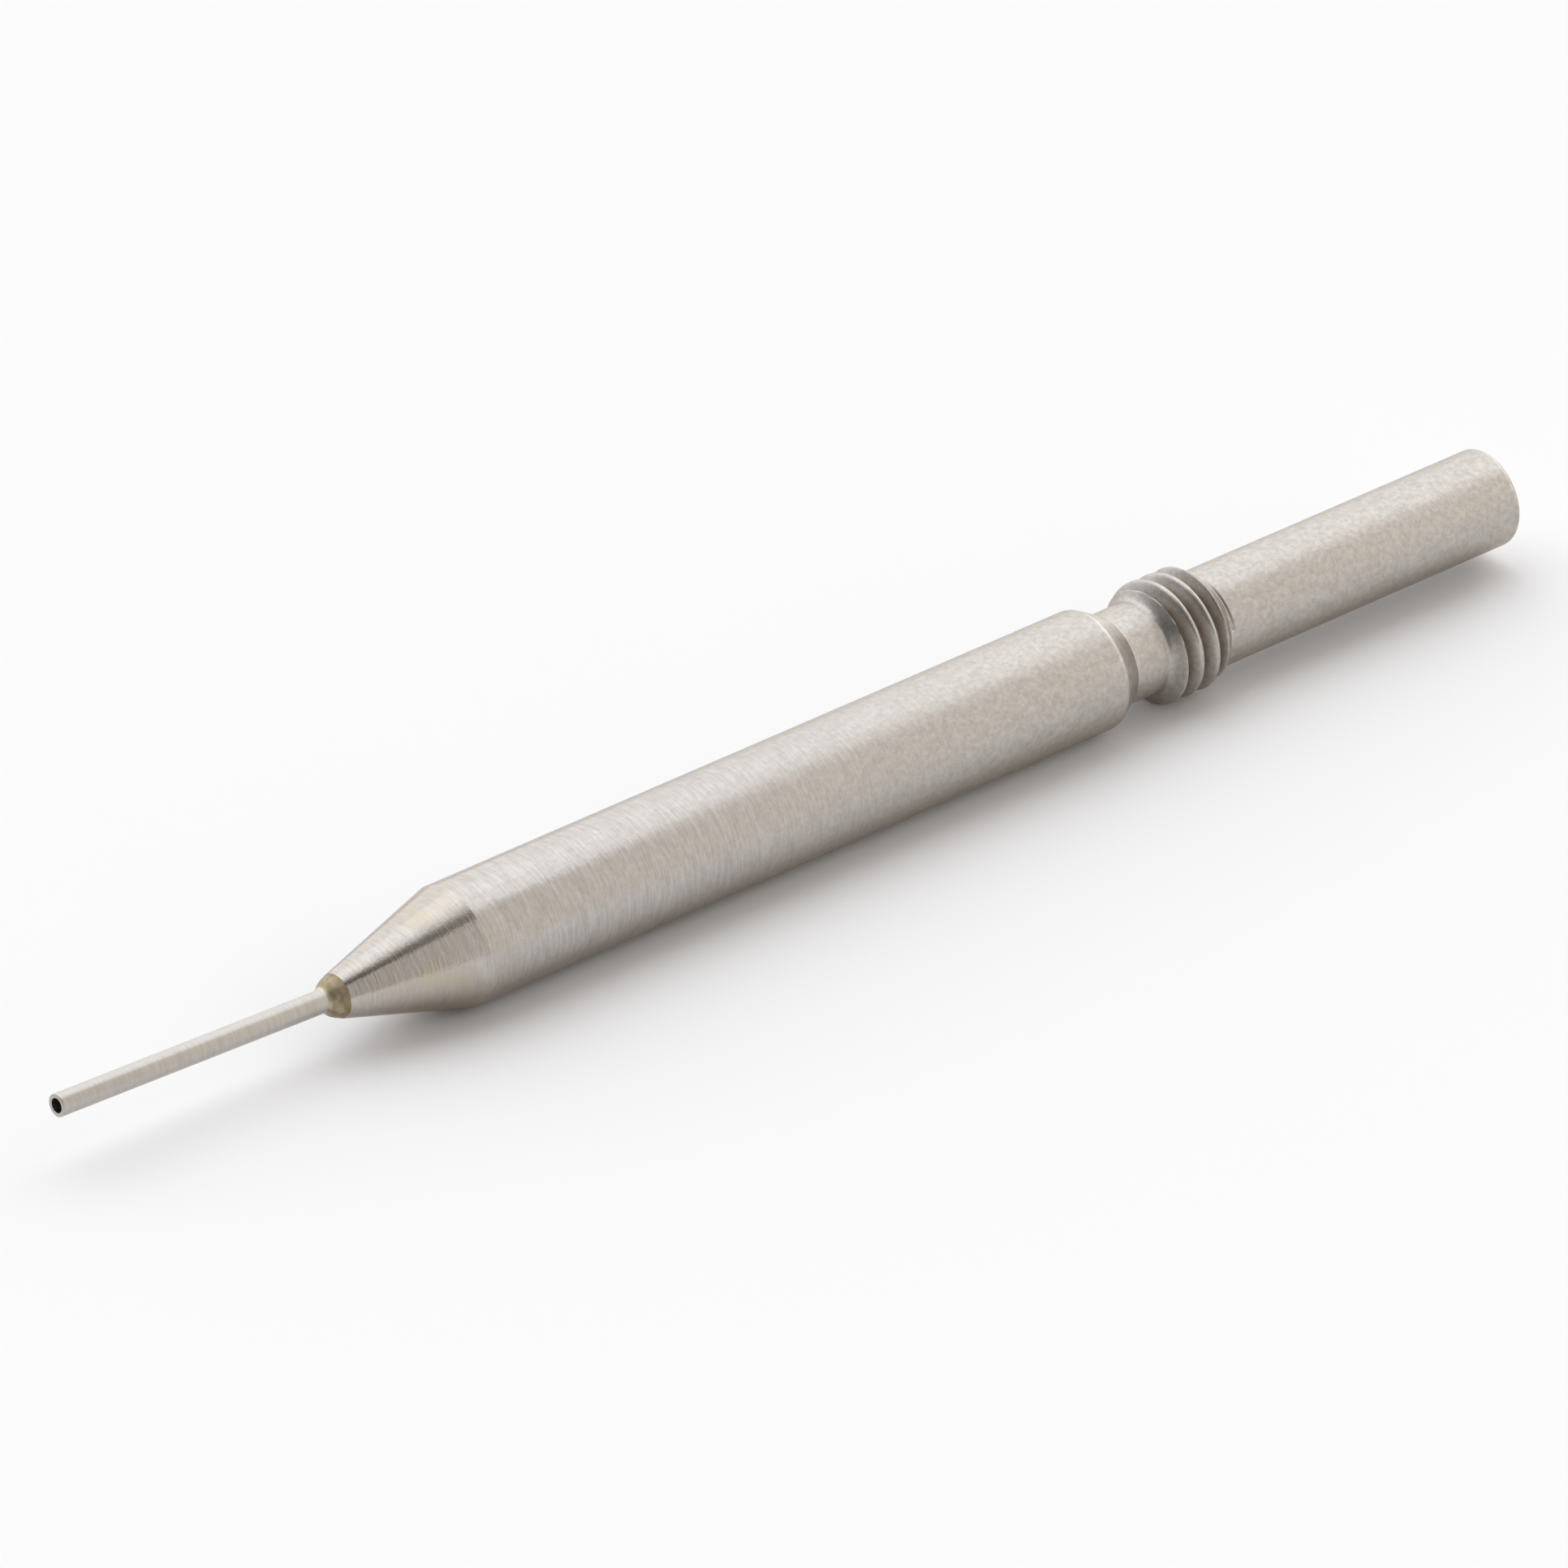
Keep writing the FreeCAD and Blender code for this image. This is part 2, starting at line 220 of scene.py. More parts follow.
def spun_piece(name, section, tree, sizes, material):
    """Runs a tree on a half section and keeps the result as a plain mesh."""
    draft = bpy.data.objects.new(name + "_draft", section)
    bpy.context.scene.collection.objects.link(draft)
    modifier = draft.modifiers.new("shape", "NODES")
    modifier.node_group = tree
    values = dict(sizes, Finish=material)
    for item in tree.interface.items_tree:
        if item.item_type == "SOCKET" and item.in_out == "INPUT" and item.name in values:
            modifier[item.identifier] = values[item.name]
    graph = bpy.context.evaluated_depsgraph_get()
    mesh = bpy.data.meshes.new_from_object(draft.evaluated_get(graph), depsgraph=graph)
    mesh.name = name
    bpy.data.objects.remove(draft)
    piece = bpy.data.objects.new(name, mesh)
    bpy.context.scene.collection.objects.link(piece)
    return piece


# Turning and threading: the rows marked as cut lean along the helix, so that each crest and root
# runs down one row, and the tool takes away what stands in its groove.
threading = new_tree("Turned body with a cut thread", [
    ("Section", "Geometry"), ("Columns", "Int"), ("Finish", "Material"),
    ("Pitch", "Float"), ("Major radius", "Float"), ("Thread depth", "Float"), ("Crest", "Float"),
    ("Crest edge", "Float"), ("Groove start", "Float"), ("Groove end", "Float"),
    ("Cut start", "Float"), ("Plunge", "Float"), ("Rows start", "Float"), ("Rows end", "Float"),
    ("Neck radius", "Float"), ("Front start", "Float"), ("Front slope", "Float"),
    ("Front foot", "Float"), ("Front edge", "Float"), ("Stem radius", "Float"),
    ("Thread end", "Float"), ("Rear slope", "Float")], [("Mesh", "Geometry")])
given = add(threading, "NodeGroupInput").outputs
spun = add(threading, "GeometryNodeGroup",
           {"Section": given["Section"], "Columns": given["Columns"]}, node_tree=spin).outputs
along, radius, turn, cut = (spun[label] for label in ("Along", "Radius", "Turn", "Cut"))
# Place along the axis: pushed on by one pitch a turn, held between the ends of the cut rows.
leaned = add(threading, "ShaderNodeMath", {0: turn, 1: given["Pitch"], 2: along},
             operation="MULTIPLY_ADD").outputs[0]
held = add(threading, "ShaderNodeClamp",
           {"Value": leaned, "Min": given["Rows start"], "Max": given["Rows end"]}).outputs[0]
station = add(threading, "ShaderNodeMix", {"Factor": cut, 2: along, 3: held},
              data_type="FLOAT").outputs[0]
# Distance from the middle of the nearest groove. The groove starts at the top, a quarter turn on.
quarter = add(threading, "ShaderNodeMath", {0: turn, 1: 0.25}, operation="SUBTRACT").outputs[0]
first = add(threading, "ShaderNodeMath", {0: quarter, 1: given["Pitch"], 2: given["Groove start"]},
            operation="MULTIPLY_ADD").outputs[0]
past = add(threading, "ShaderNodeMath", {0: station, 1: first}, operation="SUBTRACT").outputs[0]
half_pitch = add(threading, "ShaderNodeMath", {0: given["Pitch"], 1: 0.5},
                 operation="MULTIPLY").outputs[0]
minus_half = add(threading, "ShaderNodeMath", {0: given["Pitch"], 1: -0.5},
                 operation="MULTIPLY").outputs[0]
offset = add(threading, "ShaderNodeMath", {0: past, 1: half_pitch, 2: minus_half},
             operation="WRAP").outputs[0]
distance = add(threading, "ShaderNodeMath", {0: offset}, operation="ABSOLUTE").outputs[0]
middle = add(threading, "ShaderNodeMath", {0: station, 1: offset}, operation="SUBTRACT").outputs[0]
# Radius of the groove: a flat root, then 30 degree flanks. Past its end it is lifted off the metal.
FLANK_SLOPE = 1 / math.tan(math.radians(30))
OFF_THE_METAL = 10.0
root = add(threading, "ShaderNodeMath", {0: given["Major radius"], 1: given["Thread depth"]},
           operation="SUBTRACT").outputs[0]
opening = add(threading, "ShaderNodeMath", {0: given["Pitch"], 1: given["Crest"]},
              operation="SUBTRACT").outputs[0]
opening_half = add(threading, "ShaderNodeMath", {0: opening, 1: 0.5}, operation="MULTIPLY").outputs[0]
root_half = add(threading, "ShaderNodeMath",
                {0: given["Thread depth"], 1: -1 / FLANK_SLOPE, 2: opening_half},
                operation="MULTIPLY_ADD").outputs[0]
beyond = add(threading, "ShaderNodeMath", {0: distance, 1: root_half}, operation="SUBTRACT").outputs[0]
outside = add(threading, "ShaderNodeMath", {0: beyond, 1: 0.0}, operation="MAXIMUM").outputs[0]
groove = add(threading, "ShaderNodeMath", {0: outside, 1: FLANK_SLOPE, 2: root},
             operation="MULTIPLY_ADD").outputs[0]
gone = add(threading, "ShaderNodeMath", {0: middle, 1: given["Groove end"]},
           operation="GREATER_THAN").outputs[0]
open_groove = add(threading, "ShaderNodeMath", {0: gone, 1: OFF_THE_METAL, 2: groove},
                  operation="MULTIPLY_ADD").outputs[0]
# The tool plunges in over a part of a turn: the groove is shallow at its start.
run = add(threading, "ShaderNodeMath", {0: middle, 1: given["Cut start"]},
          operation="SUBTRACT").outputs[0]
plunged = add(threading, "ShaderNodeMath", {0: run, 1: given["Plunge"]}, operation="DIVIDE").outputs[0]
short_of = add(threading, "ShaderNodeMath", {0: 1.0, 1: plunged}, operation="SUBTRACT").outputs[0]
shallow = add(threading, "ShaderNodeMath", {0: short_of, 1: 0.0}, operation="MAXIMUM").outputs[0]
started = add(threading, "ShaderNodeMath", {0: shallow, 1: given["Thread depth"], 2: open_groove},
              operation="MULTIPLY_ADD").outputs[0]
# The blank that the tool meets: neck, hollow front face, land, rear chamfer, stem.
into = add(threading, "ShaderNodeMath", {0: station, 1: given["Front start"]},
           operation="SUBTRACT").outputs[0]
front = add(threading, "ShaderNodeMath",
            {0: into, 1: given["Front slope"], 2: given["Neck radius"]},
            operation="MULTIPLY_ADD").outputs[0]
hollow = add(threading, "ShaderNodeMath",
             {0: front, 1: given["Neck radius"], 2: given["Front foot"]},
             operation="SMOOTH_MAX").outputs[0]
left = add(threading, "ShaderNodeMath", {0: given["Thread end"], 1: station},
           operation="SUBTRACT").outputs[0]
rear = add(threading, "ShaderNodeMath", {0: left, 1: given["Rear slope"], 2: given["Stem radius"]},
           operation="MULTIPLY_ADD").outputs[0]
chamfered = add(threading, "ShaderNodeMath", {0: rear, 1: given["Stem radius"]},
                operation="MAXIMUM").outputs[0]
land = add(threading, "ShaderNodeMath",
           {0: hollow, 1: given["Major radius"], 2: given["Front edge"]},
           operation="SMOOTH_MIN").outputs[0]
blank = add(threading, "ShaderNodeMath", {0: land, 1: chamfered}, operation="MINIMUM").outputs[0]
# What the tool leaves, with the edges of its crests rounded.
metal_left = add(threading, "ShaderNodeMath", {0: blank, 1: started, 2: given["Crest edge"]},
                 operation="SMOOTH_MIN").outputs[0]
final = add(threading, "ShaderNodeMix", {"Factor": cut, 2: radius, 3: metal_left},
            data_type="FLOAT").outputs[0]
angle = add(threading, "ShaderNodeMath", {0: turn, 1: math.tau}, operation="MULTIPLY").outputs[0]
sideways = add(threading, "ShaderNodeMath", {0: angle}, operation="COSINE").outputs[0]
upwards = add(threading, "ShaderNodeMath", {0: angle}, operation="SINE").outputs[0]
y = add(threading, "ShaderNodeMath", {0: final, 1: sideways}, operation="MULTIPLY").outputs[0]
z = add(threading, "ShaderNodeMath", {0: final, 1: upwards}, operation="MULTIPLY").outputs[0]
place = add(threading, "ShaderNodeCombineXYZ", {0: station, 1: y, 2: z}).outputs[0]
finish_tree(threading, spun["Grid"], place, given["Finish"])


def colour(code):
    """An sRGB hex colour as linear red, green, blue and alpha."""
    shares = [int(code[index:index + 2], 16) / 255 for index in (1, 3, 5)]
    linear = [share / 12.92 if share <= 0.04045 else ((share + 0.055) / 1.055) ** 2.4
              for share in shares]
    return linear + [1.0]


def new_material(name):
    """A material with an empty node tree."""
    material = bpy.data.materials.new(name)
    material.use_nodes = True
    material.node_tree.nodes.clear()
    return material


def millimetres(tree, origin=(0.0, 0.0, 0.0)):
    """The place on a piece in millimetres, from an origin in metres."""
    where = add(tree, "ShaderNodeTexCoord").outputs["Object"]
    return add(tree, "ShaderNodeMapping",
               {"Vector": where, "Location": [-part / MM for part in origin],
                "Scale": (1 / MM, 1 / MM, 1 / MM)}).outputs[0]


# Turned and tumbled stainless steel: a neutral grey. Along the nose and the front of the barrel the
# tool left fine rings that stop and start, so a reflection is sharp round the axis and drawn out
# along it. Brazing left a straw tint on the cone. Towards the rear the tumbling barrel knocked the
# rings flat into a dull, speckled skin.
steel = new_material("turned_stainless_steel")
tree = steel.node_tree
mm = millimetres(tree, nose_place)
axis_place = add(tree, "ShaderNodeSeparateXYZ", {0: mm}).outputs["X"]
# Both are 1 on the nose and 0 on the tumbled rear; the shine goes sooner than the rings.
turned = add(tree, "ShaderNodeMapRange", {"Value": axis_place, "From Min": 22.0, "From Max": 9.0},
             interpolation_type="SMOOTHSTEP").outputs[0]
shiny = add(tree, "ShaderNodeMapRange", {"Value": axis_place, "From Min": 14.0, "From Max": 2.0},
            interpolation_type="SMOOTHSTEP").outputs[0]
# The feed is about 0.03 mm a turn. Its rings are drawn with 15 cells of noise to the millimetre, so
# that they show, and in broader groups with 5.
ring_space = add(tree, "ShaderNodeMapping", {"Vector": mm, "Scale": (15.0, 1.5, 1.5)}).outputs[0]
rings = add(tree, "ShaderNodeTexNoise",
            {"Vector": ring_space, "Scale": 1.0, "Detail": 2.0, "Roughness": 0.6}).outputs["Fac"]
lines = add(tree, "ShaderNodeMapRange",
            {"Value": rings, "From Min": 0.34, "From Max": 0.66}).outputs[0]
group_space = add(tree, "ShaderNodeMapping", {"Vector": mm, "Scale": (5.0, 0.4, 0.4)}).outputs[0]
groups = add(tree, "ShaderNodeTexNoise",
             {"Vector": group_space, "Scale": 1.0, "Detail": 1.0, "Roughness": 0.5}).outputs["Fac"]
# The tumbled skin: specks of a seventh of a millimetre.
grain = add(tree, "ShaderNodeTexNoise",
            {"Vector": mm, "Scale": 7.0, "Detail": 3.0, "Roughness": 0.7}).outputs["Fac"]
speckle = add(tree, "ShaderNodeMapRange",
              {"Value": grain, "From Min": 0.34, "From Max": 0.66}).outputs[0]
# Patches of about 0.7 mm, which the tint and the worn rings follow.
cloud = add(tree, "ShaderNodeTexNoise",
            {"Vector": mm, "Scale": 1.4, "Detail": 2.0, "Roughness": 0.5}).outputs["Fac"]
worn = add(tree, "ShaderNodeMix", {"Factor": 0.4, 2: lines, 3: speckle}, data_type="FLOAT").outputs[0]
bright = add(tree, "ShaderNodeMix", {"Factor": worn, 6: colour("#A9A39E"), 7: colour("#C1BCB8")},
             data_type="RGBA").outputs[2]
dull = add(tree, "ShaderNodeMix", {"Factor": speckle, 6: colour("#ADA7A1"), 7: colour("#C0BBB5")},
           data_type="RGBA").outputs[2]
bare = add(tree, "ShaderNodeMix", {"Factor": turned, 6: dull, 7: bright}, data_type="RGBA").outputs[2]
# The straw tint lies in patches. It is strongest three quarters of the way back along the cone and
# dies out 5 mm behind the nose's front. Each pair is a share of those 5 mm and the strength there.
TINT_END = 5.0
TINT_ALONG = ((0.0, 0.3), (0.25, 0.6), (0.5, 0.85), (0.66, 0.35), (1.0, 0.0))
tint_place = add(tree, "ShaderNodeMapRange",
                 {"Value": axis_place, "From Min": 0.0, "From Max": TINT_END}).outputs[0]
heated = add(tree, "ShaderNodeFloatCurve", {"Value": tint_place})
curve_points = heated.mapping.curves[0].points
for spot in TINT_ALONG[1:-1]:
    curve_points.new(*spot)
curve_points[0].location = TINT_ALONG[0]
curve_points[-1].location = TINT_ALONG[-1]
patches = add(tree, "ShaderNodeMapRange",
              {"Value": cloud, "From Min": 0.35, "From Max": 0.65}).outputs[0]
tinted = add(tree, "ShaderNodeMath", {0: heated.outputs[0], 1: patches},
             operation="MULTIPLY").outputs[0]
straw = add(tree, "ShaderNodeMix", {"Factor": tinted, 6: bare, 7: colour("#B8AD9C")},
            data_type="RGBA").outputs[2]
# Painted shade: the roots of the thread are coloured a darker brown, where shade falls between the crests.
# It thins out up the flanks and at both ends.
ROOT_SHADE_TOP = 0.08
ROOT_SHADE_BOTTOM = 0.28
ROOT_SHADE_STRENGTH = 0.42
FRONT_FADE = 0.12
REAR_FADE = 0.08
root_shade_front = neck_end + 0.274
root_shade_rear = land_end + 0.134
across = add(tree, "ShaderNodeVectorMath", {0: mm, 1: (0.0, 1.0, 1.0)},
             operation="MULTIPLY").outputs[0]
from_axis = add(tree, "ShaderNodeVectorMath", {0: across}, operation="LENGTH").outputs["Value"]
root_depth = add(tree, "ShaderNodeMapRange",
                 {"Value": from_axis, "From Min": THREAD_RADIUS - ROOT_SHADE_TOP,
                  "From Max": THREAD_RADIUS - ROOT_SHADE_BOTTOM,
                  "To Min": 0.0, "To Max": ROOT_SHADE_STRENGTH}).outputs[0]
behind_front = add(tree, "ShaderNodeMapRange",
                   {"Value": axis_place, "From Min": root_shade_front,
                    "From Max": root_shade_front + FRONT_FADE}).outputs[0]
before_rear = add(tree, "ShaderNodeMapRange",
                  {"Value": axis_place, "From Min": root_shade_rear,
                   "From Max": root_shade_rear - REAR_FADE}).outputs[0]
in_thread = add(tree, "ShaderNodeMath", {0: behind_front, 1: before_rear},
                operation="MULTIPLY").outputs[0]
root_shade_share = add(tree, "ShaderNodeMath", {0: in_thread, 1: root_depth}, operation="MULTIPLY").outputs[0]
# The straw-tinted steel with the painted shade of the thread's roots mixed in.
skin = add(tree, "ShaderNodeMix", {"Factor": root_shade_share, 6: straw, 7: colour("#6A5A48")},
           data_type="RGBA").outputs[2]
# The nose is shinier than the tumbled rear.
rough = add(tree, "ShaderNodeMapRange", {"Value": shiny, "To Min": 0.36, "To Max": 0.17}).outputs[0]
# The rings stand full on the cone, lower on the barrel, and are worn away in patches.
on_cone = add(tree, "ShaderNodeMapRange",
              {"Value": axis_place, "From Min": 5.0, "From Max": 3.2,
               "To Min": 0.6, "To Max": 1.0}).outputs[0]
ring_worn = add(tree, "ShaderNodeMapRange",
                {"Value": cloud, "From Min": 0.38, "From Max": 0.62,
                 "To Min": 0.3, "To Max": 1.0}).outputs[0]
ring_left = add(tree, "ShaderNodeMath", {0: turned, 1: on_cone}, operation="MULTIPLY").outputs[0]
ring_share = add(tree, "ShaderNodeMath", {0: ring_left, 1: ring_worn}, operation="MULTIPLY").outputs[0]
ring_height = add(tree, "ShaderNodeMath", {0: groups, 1: 0.7, 2: rings},
                  operation="MULTIPLY_ADD").outputs[0]
ring_bump = add(tree, "ShaderNodeBump",
                {"Strength": ring_share, "Distance": 0.007 * MM, "Height": ring_height}).outputs[0]
skin_bump = add(tree, "ShaderNodeBump",
                {"Strength": 0.45, "Distance": 0.01 * MM, "Height": grain,
                 "Normal": ring_bump}).outputs[0]
metal = add(tree, "ShaderNodeBsdfPrincipled",
            {"Base Color": skin, "Metallic": 1.0, "Roughness": rough, "Normal": skin_bump,
             "Specular Tint": colour("#F0ECE6")}).outputs[0]
add(tree, "ShaderNodeOutputMaterial", {"Surface": metal})

# The cut rows reach past both ends of the thread. They are a 32nd of the pitch apart, and one runs
# along the middle of each groove and of each crest.
ROWS_A_PITCH = 32
ROWS_MARGIN = 0.2
step = THREAD_PITCH / ROWS_A_PITCH
groove_start = neck_end - THREAD_LEAD_IN + GROOVE_SHIFT
rows_start = neck_end - ROWS_MARGIN
rows_end = thread_end + ROWS_MARGIN
first_row = groove_start - THREAD_PITCH / 4
first_row += math.floor((rows_start - THREAD_PITCH - first_row) / step) * step
row_count = math.ceil((rows_end - first_row) / step) + 1
cut_rows = [Vector((first_row + index * step, NECK_RADIUS)) for index in range(row_count)]

drill_point_end = TUBE_SEAT_END + (AIR_BORE_RADIUS - TUBE_SEAT_RADIUS) / math.tan(DRILL_POINT_ANGLE)
front_half = rounded([
    (0.0, BRAZE_CUP_RADIUS, 0),
    (0.0, NOSE_FRONT_RADIUS, NOSE_EDGE),
    (NOSE_LENGTH, BARREL_RADIUS, CONE_EDGE),
    (NOSE_LENGTH + BARREL_LENGTH, BARREL_RADIUS, SHOULDER_EDGE),
    (shoulder_end, NECK_RADIUS, SHOULDER_FOOT),
    (rows_start, NECK_RADIUS, 0)])
rear_half = rounded([
    (rows_end, STEM_RADIUS, 0),
    (stem_end, STEM_RADIUS, STEM_EDGE),
    (stem_end, AIR_BORE_RADIUS + AIR_BORE_MOUTH, MOUTH_EDGE),
    (stem_end - AIR_BORE_MOUTH, AIR_BORE_RADIUS, 0),
    (drill_point_end, AIR_BORE_RADIUS, 0),
    (TUBE_SEAT_END, TUBE_SEAT_RADIUS, 0),
    (BRAZE_CUP_DEPTH, TUBE_SEAT_RADIUS, 0),
    (BRAZE_CUP_DEPTH, BRAZE_CUP_RADIUS, 0)])
section = section_mesh("nozzle_section", front_half + cut_rows + rear_half,
                       [0.0] * len(front_half) + [1.0] * len(cut_rows) + [0.0] * len(rear_half))
body = spun_piece("turned_body", section, threading, {
    "Columns": 192,
    "Pitch": THREAD_PITCH, "Major radius": THREAD_RADIUS, "Thread depth": THREAD_DEPTH,
    "Crest": THREAD_CREST, "Crest edge": CREST_EDGE,
    "Groove start": groove_start, "Groove end": thread_end + THREAD_RUN_OUT,
    "Cut start": groove_start + THREAD_PITCH * CUT_START_TURNS, "Plunge": THREAD_PITCH * PLUNGE_TURNS,
    "Rows start": rows_start, "Rows end": rows_end,
    "Neck radius": NECK_RADIUS, "Front start": neck_end + FRONT_FACE_START,
    "Front slope": math.tan(FRONT_FACE_ANGLE), "Front foot": FRONT_FACE_FOOT,
    "Front edge": FRONT_FACE_EDGE, "Stem radius": STEM_RADIUS,
    "Thread end": thread_end, "Rear slope": math.tan(THREAD_REAR_ANGLE)}, steel)
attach(body, "root")
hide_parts("nozzle_body")

# ---------------------------------------------------------------------------------------------
# Tip tube: 24 gauge thin-wall needle tube of drawn stainless steel, cut square at the tip. It sits
# 4 mm deep in the nose and leans upwards from a slight bend just inside the front.
# ---------------------------------------------------------------------------------------------
TUBE_RADIUS = 0.28
TUBE_BORE_RADIUS = 0.18
TUBE_SEAT = 4.0
TUBE_REACH = 8.18
TUBE_LEAN = math.radians(2.08)
TUBE_BEND_RADIUS = 5.0
TUBE_BEND_DEPTH = 0.3
TIP_EDGE = 0.02
TIP_BORE_EDGE = 0.012
BEND_ROWS = 6

# The tube is drawn straight, as long as its centre line, and then laid round the bend.
bend_start = TUBE_BEND_DEPTH + TUBE_BEND_RADIUS * math.tan(TUBE_LEAN / 2)
bend_length = TUBE_BEND_RADIUS * TUBE_LEAN
tip_run = (TUBE_REACH + TUBE_BEND_DEPTH) / math.cos(TUBE_LEAN) - TUBE_BEND_RADIUS * math.tan(TUBE_LEAN / 2)
tip_along = bend_start - bend_length - tip_run

# What is spun about the tube follows it: straight to the bend, round it, straight on.
bending = new_tree("Spun round the bent tube", [
    ("Section", "Geometry"), ("Columns", "Int"), ("Finish", "Material"),
    ("Bend start", "Float"), ("Bend radius", "Float"), ("Lean", "Float")], [("Mesh", "Geometry")])
given = add(bending, "NodeGroupInput").outputs
spun = add(bending, "GeometryNodeGroup",
           {"Section": given["Section"], "Columns": given["Columns"]}, node_tree=spin).outputs
along, radius, turn = (spun[label] for label in ("Along", "Radius", "Turn"))
ahead = add(bending, "ShaderNodeMath", {0: given["Bend start"], 1: along},
            operation="SUBTRACT").outputs[0]
swing = add(bending, "ShaderNodeMath", {0: ahead, 1: given["Bend radius"]},
            operation="DIVIDE").outputs[0]
heading = add(bending, "ShaderNodeClamp", {"Value": swing, "Min": 0.0, "Max": given["Lean"]}).outputs[0]
sine = add(bending, "ShaderNodeMath", {0: heading}, operation="SINE").outputs[0]
cosine = add(bending, "ShaderNodeMath", {0: heading}, operation="COSINE").outputs[0]
swept = add(bending, "ShaderNodeMath", {0: heading, 1: given["Bend radius"]},
            operation="MULTIPLY").outputs[0]
straight = add(bending, "ShaderNodeMath", {0: ahead, 1: swept}, operation="SUBTRACT").outputs[0]
# Centre line: X falls by the arc's sine and the straight's cosine, Z rises by the rest.
arc_x = add(bending, "ShaderNodeMath", {0: sine, 1: given["Bend radius"]},
            operation="MULTIPLY").outputs[0]
run_x = add(bending, "ShaderNodeMath", {0: straight, 1: cosine, 2: arc_x},
            operation="MULTIPLY_ADD").outputs[0]
centre_x = add(bending, "ShaderNodeMath", {0: given["Bend start"], 1: run_x},
               operation="SUBTRACT").outputs[0]
versine = add(bending, "ShaderNodeMath", {0: 1.0, 1: cosine}, operation="SUBTRACT").outputs[0]
arc_z = add(bending, "ShaderNodeMath", {0: versine, 1: given["Bend radius"]},
            operation="MULTIPLY").outputs[0]
centre_z = add(bending, "ShaderNodeMath", {0: straight, 1: sine, 2: arc_z},
               operation="MULTIPLY_ADD").outputs[0]
# The wall stands square to the centre line.
angle = add(bending, "ShaderNodeMath", {0: turn, 1: math.tau}, operation="MULTIPLY").outputs[0]
sideways = add(bending, "ShaderNodeMath", {0: angle}, operation="COSINE").outputs[0]
upwards = add(bending, "ShaderNodeMath", {0: angle}, operation="SINE").outputs[0]
y = add(bending, "ShaderNodeMath", {0: radius, 1: sideways}, operation="MULTIPLY").outputs[0]
lift = add(bending, "ShaderNodeMath", {0: radius, 1: upwards}, operation="MULTIPLY").outputs[0]
x = add(bending, "ShaderNodeMath", {0: lift, 1: sine, 2: centre_x},
        operation="MULTIPLY_ADD").outputs[0]
z = add(bending, "ShaderNodeMath", {0: lift, 1: cosine, 2: centre_z},
        operation="MULTIPLY_ADD").outputs[0]
place = add(bending, "ShaderNodeCombineXYZ", {0: x, 1: y, 2: z}).outputs[0]
finish_tree(bending, spun["Grid"], place, given["Finish"])
bent_sizes = {"Columns": 96, "Bend start": bend_start, "Bend radius": TUBE_BEND_RADIUS,
              "Lean": TUBE_LEAN}

# Drawn stainless tube: a clean satin skin with faint scratches round it, a little brighter than the
# body because drawing left it smoother. The scratches have 14 cells of noise to the millimetre.
needle = new_material("drawn_stainless_tube")
tree = needle.node_tree
mm = millimetres(tree)
streak_space = add(tree, "ShaderNodeMapping", {"Vector": mm, "Scale": (14.0, 2.0, 2.0)}).outputs[0]
streaks = add(tree, "ShaderNodeTexNoise",
              {"Vector": streak_space, "Scale": 1.0, "Detail": 3.0, "Roughness": 0.6}).outputs["Fac"]
skin = add(tree, "ShaderNodeMix", {"Factor": streaks, 6: colour("#A6A099"), 7: colour("#C6C1BB")},
           data_type="RGBA").outputs[2]
scratch = add(tree, "ShaderNodeBump",
              {"Strength": 0.5, "Distance": 0.002 * MM, "Height": streaks}).outputs[0]
metal = add(tree, "ShaderNodeBsdfPrincipled",
            {"Base Color": skin, "Metallic": 1.0, "Roughness": 0.29, "Normal": scratch}).outputs[0]
add(tree, "ShaderNodeOutputMaterial", {"Surface": metal})

# The outer wall runs from the seat round the bend to the tip, and the bore runs back again.
stations = [TUBE_SEAT, bend_start]
stations += [bend_start - bend_length * row / BEND_ROWS for row in range(1, BEND_ROWS + 1)]
outer_wall = [(station, TUBE_RADIUS, 0) for station in stations]
outer_wall.append((tip_along, TUBE_RADIUS, TIP_EDGE))
bore_wall = [(station, TUBE_BORE_RADIUS, 0) for station in stations]
bore_wall.append((tip_along, TUBE_BORE_RADIUS, TIP_BORE_EDGE))
section = section_mesh("tube_section", rounded(outer_wall + bore_wall[::-1]))
tube = spun_piece("needle_tube", section, bending, bent_sizes, needle)
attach(tube, "root")
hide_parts("tip_tube")

# ---------------------------------------------------------------------------------------------
# Braze joint: a collar of brazing alloy that was melted into the cup of the nose. It fills the cup,
# flows out to the nose's front edge and tapers forward onto the tube, where it ends in a thin lip.
# ---------------------------------------------------------------------------------------------
# The collar stays a hair inside the nose's front edge, and its lip ends on the tube.
COLLAR_STEP = 0.008
COLLAR_EDGE = 0.05
LIP_START = 0.44
LIP_END = 0.46
LIP_THICKNESS = 0.004

# Brazing alloy: copper, silver and zinc under a film of burnt flux, so a mottled olive brown. On the thin
# front edge a pale cream highlight is painted, mostly on the upper side.
braze = new_material("silver_brazing_alloy")
tree = braze.node_tree
mm = millimetres(tree, nose_place)
parts = add(tree, "ShaderNodeSeparateXYZ", {0: mm}).outputs
